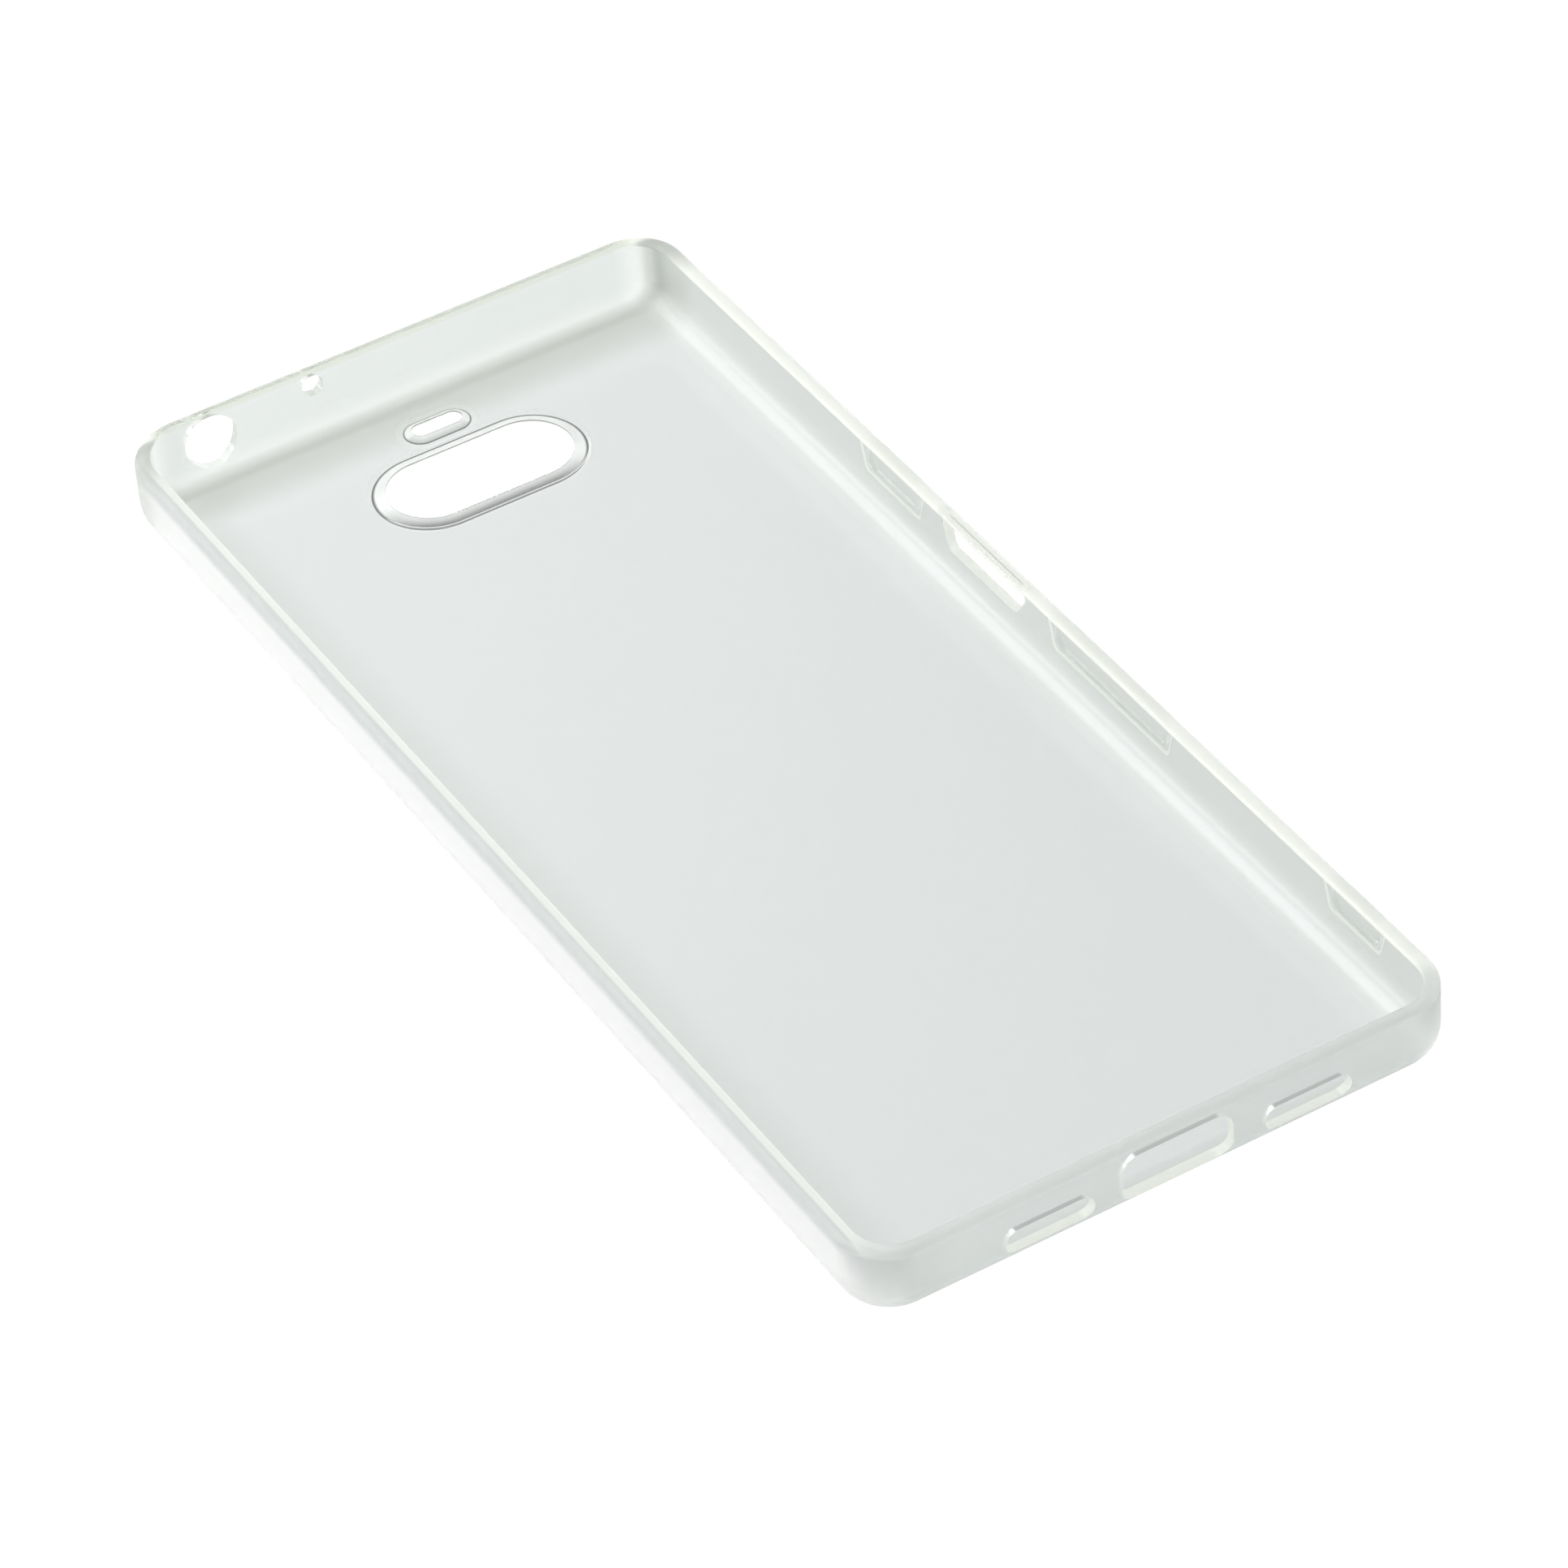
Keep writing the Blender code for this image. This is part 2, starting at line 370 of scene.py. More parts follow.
def make_shell(materials):
    """The tray with its openings, pockets and button windows."""
    shell = outer_shape("case_body")
    for material in materials:
        shell.data.materials.append(material)
    half = LENGTH / 2
    built = bmesh.new()
    add_back_opening(built, CAMERA_AT, CAMERA_SIZE, CAMERA_FLARE)
    add_back_opening(built, FLASH_AT, FLASH_SIZE, FLASH_FLARE)
    cut(shell, built, "back_openings", RING)
    built = bmesh.new()
    for x, z, radius in (JACK, MICROPHONE):
        loop = [(x + radius * math.cos(2 * math.pi * k / ROUND_STEPS),
                 z + radius * math.sin(2 * math.pi * k / ROUND_STEPS))
                for k in range(ROUND_STEPS)]
        add_loft(built, [[(u, y, v) for u, v in loop] for y in (half - 4.0, half + 1.0)])
    for x, z, width, height, radius in (PLUG_OPENING, LEFT_GRILLE, RIGHT_GRILLE):
        outline = rounded_loop(width / 2, height / 2, radius, 12, (x, z))
        add_loft(built, [[(u, y, v) for u, v in outline] for y in (-half - 1.0, -half + 5.0)])
    corners = [(SENSOR_BOTTOM_Y[0], SENSOR_Z[0]), (SENSOR_BOTTOM_Y[1], SENSOR_Z[0]),
               (SENSOR_TOP_Y[1], SENSOR_Z[1]), (SENSOR_TOP_Y[0], SENSOR_Z[1])]
    outline = polygon_with_round_corners(corners, SENSOR_CORNER_R)
    inside, outside = WIDTH / 2 - WALL - 0.6, WIDTH / 2 + 1.0
    add_loft(built, [[(x, y, z) for y, z in outline] for x in (inside, outside)])
    cut(shell, built, "wall_openings", EDGE)
    built = bmesh.new()
    for node, _ in COVERS.values():
        bar, _, _ = cover_size(node)
        inner = WIDTH / 2 - WALL
        add_loft(built, [pocket_loop(bar, inner - 0.5, POCKET_SLOPE),
                         pocket_loop(bar, inner, POCKET_SLOPE),
                         pocket_loop(bar, inner + POCKET_DEPTH, 0.0)])
    cut(shell, built, "pockets", POCKET)
    for face in shell.data.polygons:
        if face.material_index == POCKET:
            face.material_index = BODY if abs(face.normal.x) > 0.95 else EDGE
    built = bmesh.new()
    for node, _ in COVERS.values():
        bar, _, _ = cover_size(node)
        inside, outside = WIDTH / 2 - WALL - 0.4, WIDTH / 2 + 1.0
        add_loft(built, [bar_loop(bar, COVER_GAP, x) for x in (inside, outside)])
    cut(shell, built, "windows", JOINT)
    finish_normals(shell)
    return shell


def make_cover(name, node, materials):
    """Button bar with the thin sloping skin that joins it to the wall."""
    bar, inner_x, outer_x = cover_size(node)
    wall_x = WIDTH / 2 - WALL + POCKET_DEPTH
    loops = [bar_loop(bar, -0.35, inner_x), bar_loop(bar, -0.1, inner_x + 0.01),
             bar_loop(bar, 0.08, inner_x + 0.05),
             bar_loop(bar, COVER_GAP - 0.02, wall_x + 0.02),
             bar_loop(bar, COVER_GAP - 0.02, wall_x + 0.02 + SKIN),
             bar_loop(bar, 0.0, inner_x + SKIN)]
    for inset, rise in arc((-COVER_EDGE_R, outer_x - COVER_EDGE_R), COVER_EDGE_R, 0, 90, 8):
        loops.append(bar_loop(bar, inset, rise))
    built = bmesh.new()
    add_loft(built, loops)
    obj = new_object(name, built)
    for material in materials:
        obj.data.materials.append(material)
    wall_outside = WIDTH / 2 * MM
    for face in obj.data.polygons:
        if abs(face.normal.x) < 0.5 and face.center.x < wall_outside:
            face.material_index = 1
    finish_normals(obj)
    return obj


# ---------------------------------------------------------------- materials
class Nodes:
    """Short way to build a node tree."""

    def __init__(self, name):
        self.material = bpy.data.materials.new(name)
        self.material.use_nodes = True
        self.tree = self.material.node_tree
        self.tree.nodes.clear()

    def add(self, kind, inputs=None, **settings):
        node = self.tree.nodes.new(kind)
        for key, value in settings.items():
            setattr(node, key, value)
        for key, value in (inputs or {}).items():
            if hasattr(value, "is_output") and value.is_output:
                self.tree.links.new(value, node.inputs[key])
            else:
                node.inputs[key].default_value = value
        return node

    def math(self, operation, first, second=0.0, third=0.0):
        node = self.add("ShaderNodeMath", {0: first, 1: second, 2: third}, operation=operation)
        return node.outputs[0]


def coordinates(n):
    """Object position in millimetres, as (vector, x, y, z)."""
    where = n.add("ShaderNodeTexCoord").outputs["Object"]
    scaled = n.add("ShaderNodeVectorMath", {0: where, "Scale": 1 / MM}, operation="SCALE")
    split = n.add("ShaderNodeSeparateXYZ", {0: scaled.outputs[0]})
    return (scaled.outputs[0], *split.outputs)


def ramp(n, value, low, high, start, end):
    """Smooth step of a value from start to end as it goes from low to high."""
    node = n.add("ShaderNodeMapRange", {"Value": value, "From Min": low, "From Max": high,
                                        "To Min": start, "To Max": end},
                 interpolation_type="SMOOTHSTEP")
    return node.outputs["Result"]


def toward(n, value, factor, goal):
    """A value moved towards a goal by a factor."""
    return n.math("MULTIPLY_ADD", factor, n.math("SUBTRACT", goal, value), value)


def gel_surface(n, colour, rough, milk, haze_colour, normal, shade):
    """Refraction and a little milkiness, with light let through so that the floor stays lit."""
    glass = n.add("ShaderNodeBsdfPrincipled", {
        "Base Color": colour, "Roughness": rough, "IOR": 1.47,
        "Transmission Weight": 1.0, "Normal": normal})
    through = n.add("ShaderNodeBsdfTranslucent", {"Color": haze_colour, "Normal": normal})
    back = n.add("ShaderNodeBsdfDiffuse", {"Color": haze_colour, "Normal": normal})
    haze = n.add("ShaderNodeMixShader", {0: 0.5, 1: through.outputs[0], 2: back.outputs[0]})
    body = n.add("ShaderNodeMixShader", {0: milk, 1: glass.outputs[0], 2: haze.outputs[0]})
    clear = n.add("ShaderNodeBsdfTransparent", {"Color": shade})
    path = n.add("ShaderNodeLightPath")
    lit = n.add("ShaderNodeMixShader", {0: path.outputs["Is Shadow Ray"],
                                        1: body.outputs[0], 2: clear.outputs[0]})
    mix = n.add("ShaderNodeMixShader", {0: path.outputs["Is Diffuse Ray"],
                                        1: lit.outputs[0], 2: clear.outputs[0]})
    n.add("ShaderNodeOutputMaterial", {"Surface": mix.outputs[0]})


def mix_colours(n, factor, first, second):
    """Blend of two colours, each a tuple or a socket."""
    first, second = [c if hasattr(c, "is_output") else (*c, 1.0) for c in (first, second)]
    return n.add("ShaderNodeMix", {"Factor": factor, 6: first, 7: second},
                 data_type="RGBA").outputs[2]


def band(n, value, start, full, fade, end):
    """1 between full and fade, falling smoothly to 0 at start and at end."""
    return n.math("MULTIPLY", ramp(n, value, start, full, 0.0, 1.0),
                  ramp(n, value, fade, end, 1.0, 0.0))


def outward(n, way):
    """How far the real outside of a face points along a direction, from -1 to 1."""
    surface = n.add("ShaderNodeNewGeometry")
    facing = n.add("ShaderNodeVectorMath", {0: surface.outputs["True Normal"], 1: way},
                   operation="DOT_PRODUCT").outputs["Value"]
    # Cycles turns the normal towards the viewer when the face is seen from inside.
    turned = n.math("MULTIPLY_ADD", surface.outputs["Backfacing"], -2.0, 1.0)
    return n.math("MULTIPLY", facing, turned)


def from_pill(n, x, y, centre, size):
    """Distance outside a pill-shaped opening, in millimetres."""
    radius = size[1] / 2
    along = n.math("SUBTRACT", x, centre[0])
    along = n.math("SUBTRACT", n.math("ABSOLUTE", along), size[0] / 2 - radius)
    along = n.math("MAXIMUM", along, 0.0)
    across = n.math("SUBTRACT", y, centre[1])
    squares = n.math("MULTIPLY_ADD", along, along, n.math("MULTIPLY", across, across))
    return n.math("SUBTRACT", n.math("SQRT", squares), radius)


class TrayZones:
    """Masks, from 0 to 1, of the parts of the tray that look different, among them the places with
    painted light and shade.
    """

    def __init__(self, n, x, y, z):
        across = n.math("ABSOLUTE", x)
        along = n.math("ABSOLUTE", y)
        beyond_x = n.math("SUBTRACT", across, WIDTH / 2 - OUTER_EDGE_R)
        beyond_y = n.math("SUBTRACT", along, LENGTH / 2 - OUTER_EDGE_R)
        self.panel = ramp(n, n.math("MAXIMUM", beyond_x, beyond_y), -0.6, 0.8, 1.0, 0.0)
        self.rim = ramp(n, z, HEIGHT - 1.05, HEIGHT - 0.6, 0.0, 1.0)
        # Which wall a point belongs to.
        long_side = ramp(n, n.math("SUBTRACT", beyond_x, beyond_y), 0.0, 5.0, 0.0, 1.0)
        short_side = n.math("SUBTRACT", 1.0, long_side)
        left = n.math("MULTIPLY", long_side, n.math("LESS_THAN", x, 0.0))
        right = n.math("MULTIPLY", long_side, n.math("GREATER_THAN", x, 0.0))
        near = n.math("MULTIPLY", short_side, n.math("LESS_THAN", y, 0.0))
        far = n.math("MULTIPLY", short_side, n.math("GREATER_THAN", y, 0.0))
        self.walls = (left, right, near, far)
        corner = ramp(n, n.math("MINIMUM", n.math("SUBTRACT", across, WIDTH / 2 - CORNER_R),
                                n.math("SUBTRACT", along, LENGTH / 2 - CORNER_R)),
                      -0.5, 2.5, 0.0, 1.0)
        self.far_corner = n.math("MULTIPLY", corner, n.math("GREATER_THAN", y, 0.0))
        self.near_corner = n.math("MULTIPLY", corner, n.math("LESS_THAN", y, 0.0))
        # Painted shade along the foot of the far wall and, fainter, of the left wall, and darker
        # painted shade where the far wall curves into the panel.
        from_end = n.math("SUBTRACT", LENGTH / 2, y)
        far_foot = band(n, from_end, 1.9, 3.0, 4.6, 11.5)
        left_foot = band(n, n.math("ADD", x, WIDTH / 2), 3.0, 5.0, 6.0, 11.0)
        self.foot = n.math("MAXIMUM", far_foot, n.math("MULTIPLY", left_foot, 0.32))
        self.fillet = n.math("MULTIPLY", band(n, from_end, 1.7, 2.7, 3.4, 4.8), 0.65)
        # Painted shade, with more milk, on the rounded foot of the near wall.
        self.near_foot = n.math("MULTIPLY", near, ramp(n, z, 1.5, 3.3, 1.0, 0.0))
        self.bridge = n.math("MULTIPLY", band(n, y, SENSOR_TOP_Y[0] - 0.8, SENSOR_TOP_Y[0] + 1.2,
                                              SENSOR_TOP_Y[1] - 1.6, SENSOR_TOP_Y[1] + 0.4),
                             right)
        from_camera = from_pill(n, x, y, CAMERA_AT, CAMERA_SIZE)
        from_opening = n.math("MINIMUM", from_camera,
                              from_pill(n, x, y, FLASH_AT, FLASH_SIZE))
        self.ring = ramp(n, from_opening, 1.5, 2.2, 1.0, 0.0)
        # Painted highlight: a white glint just outside the camera opening's flare, on its side
        # towards the middle of the back.
        self.glint = n.math("MULTIPLY", band(n, from_camera, CAMERA_FLARE, CAMERA_FLARE + 0.1,
                                             CAMERA_FLARE + 0.15, CAMERA_FLARE + 0.35),
                            ramp(n, y, CAMERA_AT[1] - 3.5, CAMERA_AT[1] - 1.0, 1.0, 0.0))
        # Painted reflection: the rounded outer edge of the left rim is painted with the dark side
        # of the room.
        dark = n.math("MULTIPLY", left, band(n, across, WIDTH / 2 - 1.15, WIDTH / 2 - 0.75,
                                             WIDTH / 2 + 1.0, WIDTH / 2 + 2.0))
        dark = n.math("MULTIPLY", dark, ramp(n, z, HEIGHT - 2.2, HEIGHT - 0.8, 0.0, 1.0))
        self.dark_edge_reflection = n.math("MULTIPLY", dark, n.math("SUBTRACT", 1.0, self.far_corner))
        # Painted highlight: a bright line where the right wall curves into the panel.
        inset = n.math("SUBTRACT", WIDTH / 2, x)
        self.line = n.math("MULTIPLY", n.math("MULTIPLY", right,
                                              band(n, inset, 1.9, 2.4, 2.7, 3.4)),
                           ramp(n, z, 4.0, 5.5, 0.38, 0.0))


def tray_milk(n, zones):
    """Milkiness of each wall, of each stretch of the rim and of the panel."""
    milk = 0.42
    for side, amount in zip(zones.walls, WALL_MILK):
        milk = toward(n, milk, side, amount)
    milk = toward(n, milk, zones.near_corner, NEAR_CORNER_MILK)
    milk = toward(n, milk, zones.near_foot, NEAR_FOOT_MILK)
    rim_milk = 0.55
    for side, amount in zip(zones.walls, RIM_MILK):
        rim_milk = toward(n, rim_milk, side, amount)
    rim_milk = toward(n, rim_milk, zones.far_corner, FAR_CORNER_RIM_MILK)
    rim_milk = n.math("MULTIPLY", rim_milk, n.math("MULTIPLY_ADD", zones.bridge, -0.35, 1.0))
    milk = toward(n, milk, zones.rim, rim_milk)
    milk = toward(n, milk, zones.panel, PANEL_MILK)
    milk = n.math("MULTIPLY", milk, n.math("MULTIPLY_ADD", zones.ring, -0.8, 1.0))
    # More milk under the painted highlights, so that their white haze shows.
    milk = n.math("MULTIPLY_ADD", zones.glint, 0.5, milk)
    return toward(n, milk, zones.line, LINE_MILK)


def tray_haze_and_painted_light(n, zones, z):
    """Colour of the haze in each wall, in each stretch of the rim and in the panel, with painted
    light, shade, highlights and reflection in it.
    """
    wall_haze_and_painted_light = (0.70, 0.72, 0.71)
    for side, paint in zip(zones.walls, WALL_HAZE_PAINTED_LIGHT):
        wall_haze_and_painted_light = mix_colours(n, side, wall_haze_and_painted_light, paint)
    rim_haze_and_painted_light = (0.80, 0.81, 0.77)
    for side, paint in zip(zones.walls, RIM_HAZE_PAINTED_LIGHT):
        rim_haze_and_painted_light = mix_colours(n, side, rim_haze_and_painted_light, paint)
    wall_haze_and_painted_light = mix_colours(n, zones.near_foot, wall_haze_and_painted_light, NEAR_FOOT_PAINTED_SHADE)
    # Painted light and shade round the near corners: the foot is pale and the part under the rim
    # dark. The far corners get painted light.
    low = n.math("MULTIPLY", zones.near_corner, ramp(n, z, 2.5, 6.0, 0.9, 0.0))
    high = n.math("MULTIPLY", zones.near_corner, ramp(n, z, 5.0, 8.0, 0.0, 0.8))
    far_corner = n.math("MULTIPLY", zones.far_corner, 0.9)
    wall_haze_and_painted_light = mix_colours(n, low, wall_haze_and_painted_light, NEAR_CORNER_LOW_PAINTED_LIGHT)
    wall_haze_and_painted_light = mix_colours(n, high, wall_haze_and_painted_light, NEAR_CORNER_HIGH_PAINTED_SHADE)
    wall_haze_and_painted_light = mix_colours(n, far_corner, wall_haze_and_painted_light, FAR_CORNER_PAINTED_LIGHT)
    rim_haze_and_painted_light = mix_colours(n, far_corner, rim_haze_and_painted_light, FAR_CORNER_RIM_PAINTED_LIGHT)
    haze = mix_colours(n, zones.rim, wall_haze_and_painted_light, rim_haze_and_painted_light)
    # Painted reflection on the left rim edge, painted highlights at the glint and the line, painted
    # shade along the foot and the far fillet, and the panel's own tone.
    for mask, paint in ((zones.dark_edge_reflection, DARK_EDGE_PAINTED_REFLECTION), (zones.panel, PANEL_HAZE),
                        (zones.glint, WHITE), (zones.foot, FOOT_PAINTED_SHADE),
                        (zones.fillet, FILLET_PAINTED_SHADE), (zones.line, WHITE)):
        haze = mix_colours(n, mask, haze, paint)
    return haze


def body_gel():
    """Gel of the tray: even panel with micro dots, walls and rim whose density varies, with painted
    light and shade in their haze and tint.
    """
    n = Nodes("clear_gel_body")
    where, x, y, z = coordinates(n)
    zones = TrayZones(n, x, y, z)
    cloud = n.add("ShaderNodeTexNoise", {"Vector": where, "Scale": 0.035, "Detail": 3.0})
    swell = n.add("ShaderNodeTexNoise", {"Vector": where, "Scale": 0.12, "Detail": 1.0})
    lattice = n.add("ShaderNodeTexVoronoi", {"Vector": where, "Scale": 1 / DOT_SPACING,
                                             "Randomness": 0.06}, feature="F1")
    dot = ramp(n, lattice.outputs["Distance"], 0.16, 0.32, 1.0, 0.0)
    dot = n.math("MULTIPLY", dot, ramp(n, cloud.outputs["Fac"], 0.45, 0.6, 0.15, 0.6))
    height = n.math("MULTIPLY_ADD", dot, 0.10, n.math("MULTIPLY", swell.outputs["Fac"], 2.0))
    bump = n.add("ShaderNodeBump", {"Height": height, "Strength": 0.5,
                                    "Distance": BUMP_HEIGHT})
    rough = n.math("MULTIPLY_ADD", zones.panel, PANEL_ROUGH - WALL_ROUGH, WALL_ROUGH)
    rough = n.math("MULTIPLY_ADD", zones.rim, RIM_ROUGH - WALL_ROUGH, rough)
    rough = n.math("MULTIPLY_ADD", cloud.outputs["Fac"], 0.03, rough)
    tint = mix_colours(n, zones.panel, (0.975, 0.975, 0.965), (0.928, 0.936, 0.933))
    # Painted shade in the tint: darker along the foot of the walls, darker still in the far fillet
    # band.
    tint = mix_colours(n, zones.foot, tint, (0.78, 0.79, 0.76))
    tint = mix_colours(n, zones.fillet, tint, (0.60, 0.615, 0.58))
    shade = mix_colours(n, zones.panel, (0.98, 0.985, 0.98), (0.945, 0.95, 0.95))
    gel_surface(n, tint, rough, tray_milk(n, zones), tray_haze_and_painted_light(n, zones, z),
                bump.outputs["Normal"], shade)
    return n.material


def ring_gel():
    """Flared edges of the camera and flash openings, with painted shade: dark outside line, lighter
    inside.
    """
    n = Nodes("clear_gel_rings")
    where, _, y, z = coordinates(n)
    # Painted shade and light: on the side of each flare towards the middle of the back the tint is
    # dark at the outer face and lighter higher up; the other side is near white with darker lines
    # at the bottom and top. The flash ring gets less of the dark side.
    facing = outward(n, (-0.36, -0.93, 0.0))
    away = ramp(n, facing, -0.45, -0.10, 1.0, 0.0)
    painted_shade_level = ramp(n, z, 0.15, 0.78, 0.05, 0.68)
    painted_shade_level = n.math("MULTIPLY", painted_shade_level, ramp(n, z, 0.0, 0.10, 0.2, 1.0))
    clear = n.math("MULTIPLY", ramp(n, z, 0.05, 0.22, 0.12, 1.0),
                   ramp(n, z, 0.84, 0.92, 1.0, 0.25))
    away = n.math("MULTIPLY", away, ramp(n, y, FLASH_AT[1] - 4.0, FLASH_AT[1] - 3.5, 1.0, 0.45))
    level = n.math("MULTIPLY_ADD", away, n.math("SUBTRACT", painted_shade_level, clear), clear)
    grain = n.add("ShaderNodeTexNoise", {"Vector": where, "Scale": 2.0, "Detail": 2.0})
    level = n.math("MULTIPLY", level, n.math("MULTIPLY_ADD", grain.outputs["Fac"], 0.1, 0.95))
    tint = mix_colours(n, level, (0.0, 0.0, 0.0), (0.97, 0.98, 0.96))
    bump = n.add("ShaderNodeBump", {"Height": grain.outputs["Fac"], "Strength": 0.08,
                                    "Distance": BUMP_HEIGHT})
    milk = n.math("MULTIPLY_ADD", away, 0.35 - 0.8, 0.8)
    gel_surface(n, tint, 0.04, milk, tint, bump.outputs["Normal"], (0.96, 0.965, 0.96, 1.0))
    return n.material


def edge_gel():
    """Cut faces of the openings: glossy and clearer, with painted shade on those that face down."""
    n = Nodes("clear_gel_edges")
    where, x, y, _ = coordinates(n)
    grain = n.add("ShaderNodeTexNoise", {"Vector": where, "Scale": 3.0, "Detail": 2.0})
    bump = n.add("ShaderNodeBump", {"Height": grain.outputs["Fac"], "Strength": 0.08,
                                    "Distance": BUMP_HEIGHT})
    tint = mix_colours(n, grain.outputs["Fac"], (0.94, 0.95, 0.92), (0.97, 0.98, 0.95))
    haze = mix_colours(n, grain.outputs["Fac"], (0.93, 0.955, 0.87), (0.95, 0.97, 0.89))
    # Painted shade: cut faces that face down are tinted dark.
    ceiling_shade = ramp(n, outward(n, (0.0, 0.0, 1.0)), -0.95, -0.75, 1.0, 0.0)
    # Under the strip over the sensor opening only the inner edge gets the painted shade.
    ceiling_shade = n.math("MULTIPLY", ceiling_shade,
                     ramp(n, x, WIDTH / 2 - 0.85, WIDTH / 2 - 0.65, 1.0, 0.0))
    milk = n.math("MULTIPLY_ADD", ceiling_shade, -0.46, 0.48)
    milk = n.math("MULTIPLY", milk, ramp(n, y, LENGTH / 2 - 6.0, LENGTH / 2 - 5.0, 1.0, 0.4))
    tint = mix_colours(n, ceiling_shade, tint, (0.30, 0.31, 0.30))
    gel_surface(n, tint, 0.04, milk, haze, bump.outputs["Normal"], (0.97, 0.975, 0.97, 1.0))
    return n.material


def joint_gel():
    """Meeting faces inside one piece of gel: no bend of the light, only a trace of haze."""
    n = Nodes("clear_gel_joints")
    where = coordinates(n)[0]
    grain = n.add("ShaderNodeTexNoise", {"Vector": where, "Scale": 2.0, "Detail": 2.0})
    tint = mix_colours(n, grain.outputs["Fac"], (0.95, 0.955, 0.94), (0.98, 0.98, 0.97))
    clear = n.add("ShaderNodeBsdfTransparent", {"Color": tint})
    haze = n.add("ShaderNodeBsdfTranslucent", {"Color": (0.86, 0.88, 0.87, 1.0)})
    mix = n.add("ShaderNodeMixShader", {0: 0.45, 1: clear.outputs[0], 2: haze.outputs[0]})
    n.add("ShaderNodeOutputMaterial", {"Surface": mix.outputs[0]})
    return n.material


def button_gel():
    """Gel of the button bars, with fine grip ribs along the outer face."""
    n = Nodes("clear_gel_button")
    where, _, _, z = coordinates(n)
    grain = n.add("ShaderNodeTexNoise", {"Vector": where, "Scale": 2.2, "Detail": 2.0})
    rib = n.math("SINE", n.math("MULTIPLY", z, 2 * math.pi / RIB_SPACING))
    height = n.math("MULTIPLY_ADD", rib, 0.4, grain.outputs["Fac"])
    bump = n.add("ShaderNodeBump", {"Height": height, "Strength": 0.15,
                                    "Distance": BUMP_HEIGHT})
    tint = mix_colours(n, grain.outputs["Fac"], (0.96, 0.965, 0.95), (0.98, 0.98, 0.965))
    haze = mix_colours(n, grain.outputs["Fac"], (0.66, 0.68, 0.665), (0.69, 0.71, 0.695))
    gel_surface(n, tint, 0.12, 0.6, haze, bump.outputs["Normal"], (0.98, 0.985, 0.98, 1.0))
    return n.material


# ---------------------------------------------------------------- studio
def make_floor():
    """Paper sweep: even white to the camera, dimmer paper with painted light and shade to all that
    the gel bends or reflects.
    """
    built = bmesh.new()
    half = FLOOR_SIDE / 2
    corners = [(-half, -half), (half, -half), (half, half), (-half, half)]
    built.faces.new([built.verts.new((x, y, -FLOOR_DROP)) for x, y in corners])
    floor = new_object("studio_floor", built)
    n = Nodes("studio_floor_paper")
    where, x, y, _ = coordinates(n)
    fibre = n.add("ShaderNodeTexNoise", {"Vector": where, "Scale": 0.4, "Detail": 2.0})
    tone = n.add("ShaderNodeMix", {"Factor": fibre.outputs["Fac"]}, data_type="RGBA")
    tone.inputs[6].default_value = [c * 0.99 for c in FLOOR_COLOUR] + [1.0]
    tone.inputs[7].default_value = [c * 1.01 for c in FLOOR_COLOUR] + [1.0]
    # Painted light beyond the left side of the case, painted shade beyond its far, right and near
    # sides, seen only in what the gel bends or reflects.
    left = ramp(n, x, -WIDTH / 2 - 1.5, -WIDTH / 2 + 0.5, 1.0, 0.0)
    far = ramp(n, y, LENGTH / 2 - 0.5, LENGTH / 2 + 4.0, 0.0, 1.0)
    right = ramp(n, x, WIDTH / 2 - 0.5, WIDTH / 2 + 1.5, 0.0, 1.0)
    near = ramp(n, y, -LENGTH / 2 + 0.5, -LENGTH / 2 + 4.5, 1.0, 0.0)
    # The light falls off from the far left towards the near right.
    falloff = ramp(n, n.math("MULTIPLY_ADD", x, -1.2, y), -80.0, 90.0, 0.97, 1.05)
    colour = n.add("ShaderNodeVectorMath", {0: tone.outputs[2], "Scale": falloff},
                   operation="SCALE").outputs[0]
    # The painted light and shade are laid over the paper here.
    for factor, paint in ((near, FLOOR_NEAR_PAINTED_SHADOW), (right, FLOOR_RIGHT_PAINTED_SHADOW), (far, FLOOR_FAR_PAINTED_SHADE),
                          (left, FLOOR_LEFT_PAINTED_LIGHT)):
        colour = n.add("ShaderNodeMix", {"Factor": factor, 6: colour, 7: (*paint, 1.0)},
                       data_type="RGBA").outputs[2]
    white = n.add("ShaderNodeEmission", {"Color": (1.0, 1.0, 1.0, 1.0), "Strength": 1.02})
    path = n.add("ShaderNodeLightPath")
    paper = n.add("ShaderNodeBsdfDiffuse", {"Color": colour})
    mix = n.add("ShaderNodeMixShader", {0: path.outputs["Is Camera Ray"],
                                        1: paper.outputs[0], 2: white.outputs[0]})
    n.add("ShaderNodeOutputMaterial", {"Surface": mix.outputs[0]})
    floor.data.materials.append(n.material)


def add_softbox(name, azimuth, elevation, distance, size, power):
    """Area light aimed at the object from a direction given in degrees (azimuth from +X)."""
    data = bpy.data.lights.new(name, "AREA")
    data.shape = "RECTANGLE"
    data.size, data.size_y = size
    data.energy = power
    light = bpy.data.objects.new(name, data)
    a, e = math.radians(azimuth), math.radians(elevation)
    way = Vector((math.cos(e) * math.cos(a), math.cos(e) * math.sin(a), math.sin(e)))
    light.location = way * distance
    light.rotation_mode = "QUATERNION"
    light.rotation_quaternion = way.to_track_quat("Z", "Y")
    bpy.context.scene.collection.objects.link(light)


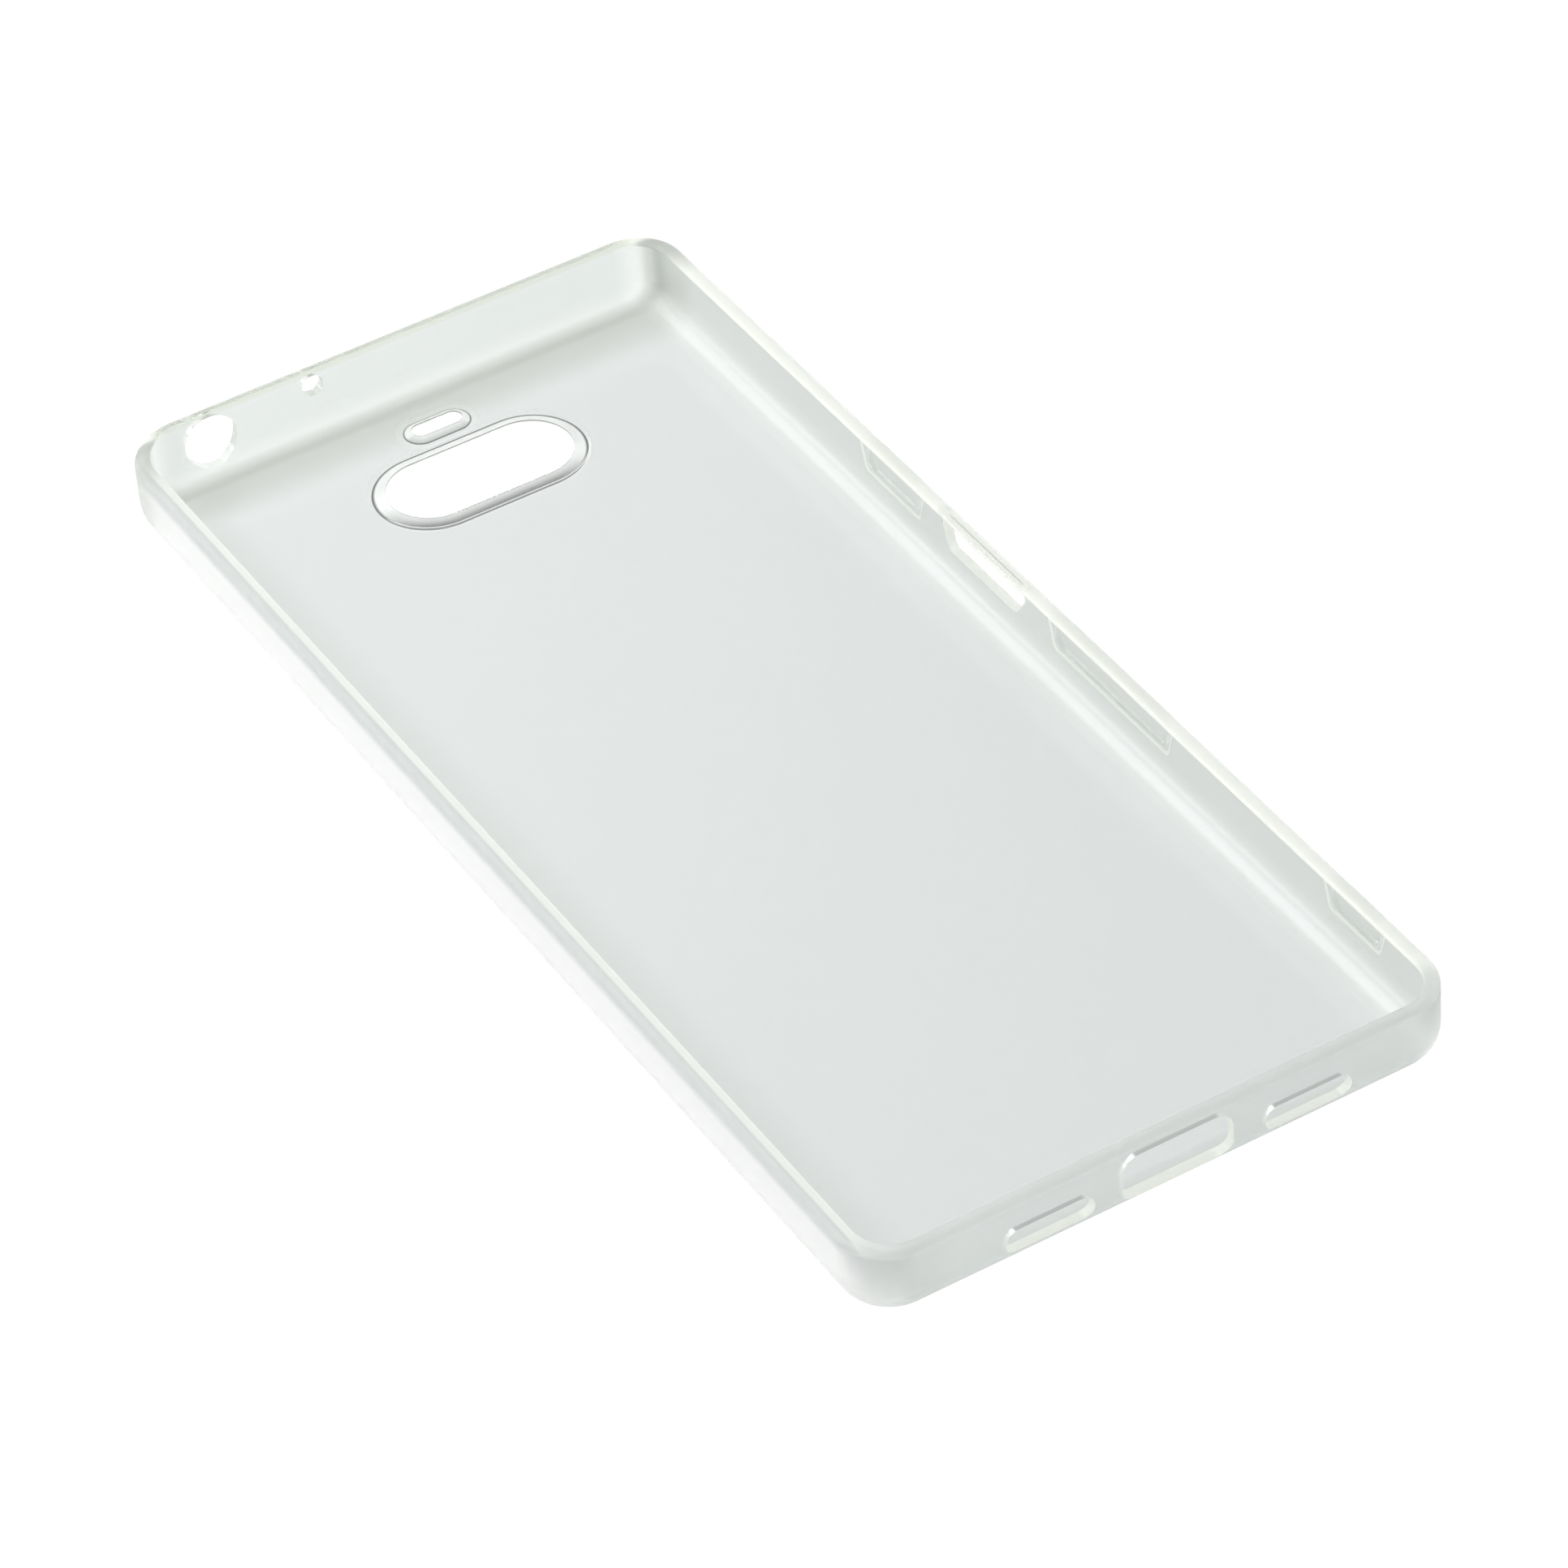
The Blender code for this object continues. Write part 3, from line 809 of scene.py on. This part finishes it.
def make_world():
    """White sweep for the camera, softer studio with darker corners for reflections."""
    world = bpy.data.worlds.new("studio")
    bpy.context.scene.world = world
    world.use_nodes = True
    tree = world.node_tree
    tree.nodes.clear()

    def add(kind, inputs=None, **settings):
        node = tree.nodes.new(kind)
        for key, value in settings.items():
            setattr(node, key, value)
        for key, value in (inputs or {}).items():
            if hasattr(value, "is_output") and value.is_output:
                tree.links.new(value, node.inputs[key])
            else:
                node.inputs[key].default_value = value
        return node

    way = add("ShaderNodeTexCoord").outputs["Generated"]
    split = add("ShaderNodeSeparateXYZ", {0: way})
    level = add("ShaderNodeMapRange", {"Value": split.outputs["Z"], "From Min": 0.15,
                                       "From Max": 0.80, "To Min": 0.95, "To Max": 1.35},
                interpolation_type="SMOOTHSTEP").outputs["Result"]
    for azimuth, elevation, inner, outer, value in STUDIO_PATCHES:
        a, e = math.radians(azimuth), math.radians(elevation)
        toward = (math.cos(e) * math.cos(a), math.cos(e) * math.sin(a), math.sin(e))
        cosine = add("ShaderNodeVectorMath", {0: way, 1: toward}, operation="DOT_PRODUCT")
        mask = add("ShaderNodeMapRange", {
            "Value": cosine.outputs["Value"], "From Min": math.cos(math.radians(outer)),
            "From Max": math.cos(math.radians(inner)), "To Min": 0.0, "To Max": 1.0},
            interpolation_type="SMOOTHSTEP")
        level = add("ShaderNodeMix", {"Factor": mask.outputs["Result"], 2: level, 3: value},
                    data_type="FLOAT").outputs[0]
    path = add("ShaderNodeLightPath")
    shown = add("ShaderNodeMix", {0: path.outputs["Is Camera Ray"], 2: level, 3: 1.1},
                data_type="FLOAT")
    sky = add("ShaderNodeBackground", {"Color": (1.0, 1.0, 1.0, 1.0),
                                       "Strength": shown.outputs[0]})
    add("ShaderNodeOutputWorld", {"Surface": sky.outputs[0]})


def make_camera():
    """Camera at the angle of the photograph."""
    data = bpy.data.cameras.new("photo_camera")
    data.sensor_width = SENSOR_WIDTH
    data.lens = LENS
    data.clip_start, data.clip_end = 0.01, 10.0
    cam = bpy.data.objects.new("photo_camera", data)
    bpy.context.scene.collection.objects.link(cam)
    e, a = VIEW_ELEVATION, VIEW_AZIMUTH
    back = Vector((math.cos(e) * math.cos(a), math.cos(e) * math.sin(a), math.sin(e)))
    right = (-back).cross(Vector((0, 0, 1))).normalized()
    up = right.cross(-back)
    c, s = math.cos(VIEW_ROLL), math.sin(VIEW_ROLL)
    x_axis = c * right + s * up
    y_axis = -s * right + c * up
    turn = Matrix((x_axis, y_axis, back)).transposed()
    cam.matrix_world = Matrix.Translation(VIEW_TARGET + back * VIEW_DISTANCE) @ turn.to_4x4()
    bpy.context.scene.camera = cam


# ---------------------------------------------------------------- build
# The body gel fills two slots: BODY, and POCKET until its faces are shared out.
tray_gel = body_gel()
shell = make_shell((tray_gel, edge_gel(), ring_gel(), joint_gel(), tray_gel))
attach(shell, "shell")
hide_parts("case_shell")

cover_materials = (button_gel(), joint_gel())
for label, (node, body) in COVERS.items():
    piece = make_cover(label + "_button_skin", node, cover_materials)
    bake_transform(piece)
    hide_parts(node)

make_floor()
make_world()
add_softbox("key_softbox", 145.0, 55.0, 0.6, (0.5, 0.4), 1.2)
add_softbox("left_strip", 136.0, 14.0, 1.0, (1.2, 0.22), 2.4)
make_camera()

scene = bpy.context.scene
scene.view_settings.view_transform = "Standard"
scene.cycles.caustics_reflective = False
scene.cycles.caustics_refractive = False
scene.cycles.max_bounces = 32
scene.cycles.transmission_bounces = 32
scene.cycles.transparent_max_bounces = 32
